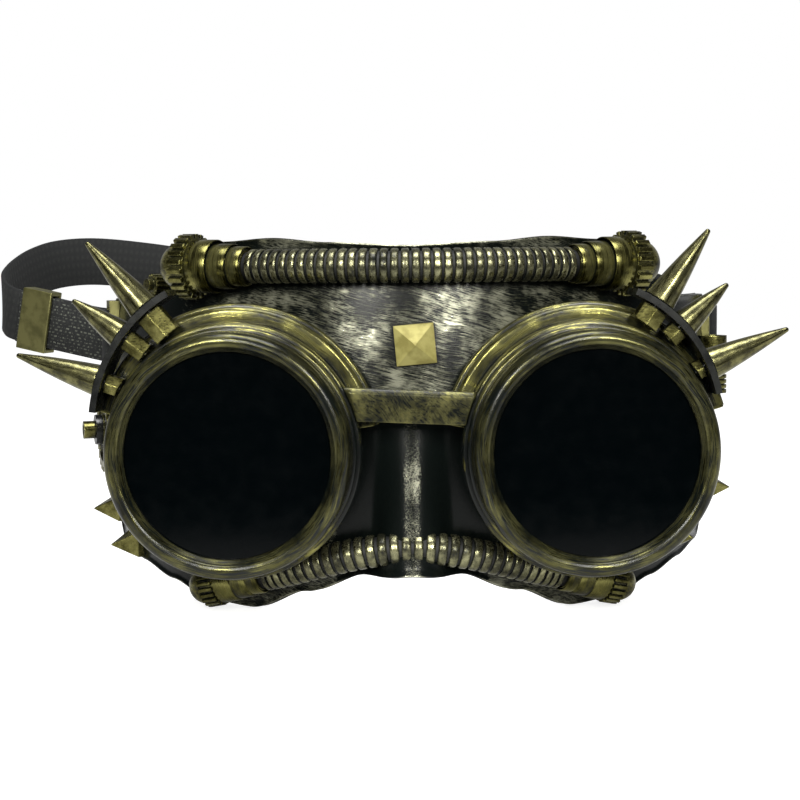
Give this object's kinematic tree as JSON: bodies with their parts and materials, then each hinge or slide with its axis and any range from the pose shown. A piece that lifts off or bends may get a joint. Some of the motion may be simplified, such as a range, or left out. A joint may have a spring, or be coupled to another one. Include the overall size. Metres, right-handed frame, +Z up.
{
  "type": "steampunk goggles",
  "caption": "Wrap-round half mask with stepped screw-front eyecups, smoked round lenses, ribbed hoses, temple spikes, gear trim and an elastic strap with a slider",
  "frame": {"origin": "middle of the bridge bar's front face", "axes": "+X to the right as seen from the front, +Y away from the viewer towards the face, +Z up"},
  "size_m": [0.2148, 0.1715, 0.0965],
  "materials": {
    "antique_brass": "black moulded plastic, dry-brushed with olive brass paint",
    "dark_antique_brass": "dark olive brass paint, polished on the rolled edge",
    "satin_brass": "satin yellow brass",
    "black_band": "matt black",
    "smoked_lens": "polished, nearly opaque smoked lens with a faint blue-green tint",
    "webbing": "black woven elastic"
  },
  "bodies": {
    "goggles": {"face_shell": "antique_brass", "bridge_bar": "antique_brass", "forehead_stud": "satin_brass", "left_eyecup": "antique_brass", "right_eyecup": "antique_brass", "brow_hose": "antique_brass", "left_brow_cuffs": "antique_brass", "right_brow_cuffs": "antique_brass", "left_brow_gear": "antique_brass", "right_brow_gear": "antique_brass", "left_brow_cap": "antique_brass", "right_brow_cap": "antique_brass", "nose_hose": "antique_brass", "left_cheek_cuffs": "antique_brass", "right_cheek_cuffs": "antique_brass", "left_cheek_gear": "antique_brass", "right_cheek_gear": "antique_brass", "left_cheek_cap": "antique_brass", "right_cheek_cap": "antique_brass", "left_spike_band": "black_band", "right_spike_band": "black_band", "left_spike_nuts": "antique_brass", "right_spike_nuts": "antique_brass", "left_upper_spike": "antique_brass", "left_middle_spike": "antique_brass", "left_lower_spike": "antique_brass", "right_upper_spike": "antique_brass", "right_middle_spike": "antique_brass", "right_lower_spike": "antique_brass", "left_side_studs": "antique_brass", "right_side_studs": "antique_brass", "left_temple_gear": "antique_brass", "left_temple_washer": "black_band", "left_temple_bolt": "antique_brass", "left_side_knob": "antique_brass", "right_canister": "antique_brass", "left_strap_lug": "satin_brass", "right_strap_lug": "satin_brass", "strap": "webbing"},
    "left_front": {"left_lens": "smoked_lens"},
    "left_ring": {"left_bezel": "dark_antique_brass"},
    "right_front": {"right_lens": "smoked_lens"},
    "right_ring": {"right_bezel": "dark_antique_brass"},
    "slider": {"strap_slider": "satin_brass"}
  },
  "joints": [
    {"name": "left_bezel_travel", "type": "slide", "parent": "goggles", "child": "left_front", "axis": [-0.0698, -0.9976, 0], "range_m": [0, 0.0026]},
    {"name": "left_bezel_turn", "type": "hinge", "parent": "left_front", "child": "left_ring", "pos_m": [-0.0445, -0.0075, -0.011], "axis": [-0.0698, -0.9976, 0], "range_deg": [0, 624]},
    {"name": "right_bezel_travel", "type": "slide", "parent": "goggles", "child": "right_front", "axis": [0.0698, -0.9976, 0], "range_m": [0, 0.0026]},
    {"name": "right_bezel_turn", "type": "hinge", "parent": "right_front", "child": "right_ring", "pos_m": [0.0445, -0.0075, -0.011], "axis": [0.0698, -0.9976, 0], "range_deg": [0, 624]},
    {"name": "strap_slide", "type": "slide", "parent": "goggles", "child": "slider", "axis": [-0.9129, 0.3651, 0.1826], "range_m": [-0.007, 0.002]}
  ],
  "couplings": [
    {"joint": "left_bezel_travel", "follows": "left_bezel_turn", "m_per_rad": 0.00023873},
    {"joint": "right_bezel_travel", "follows": "right_bezel_turn", "m_per_rad": 0.00023873}
  ]
}
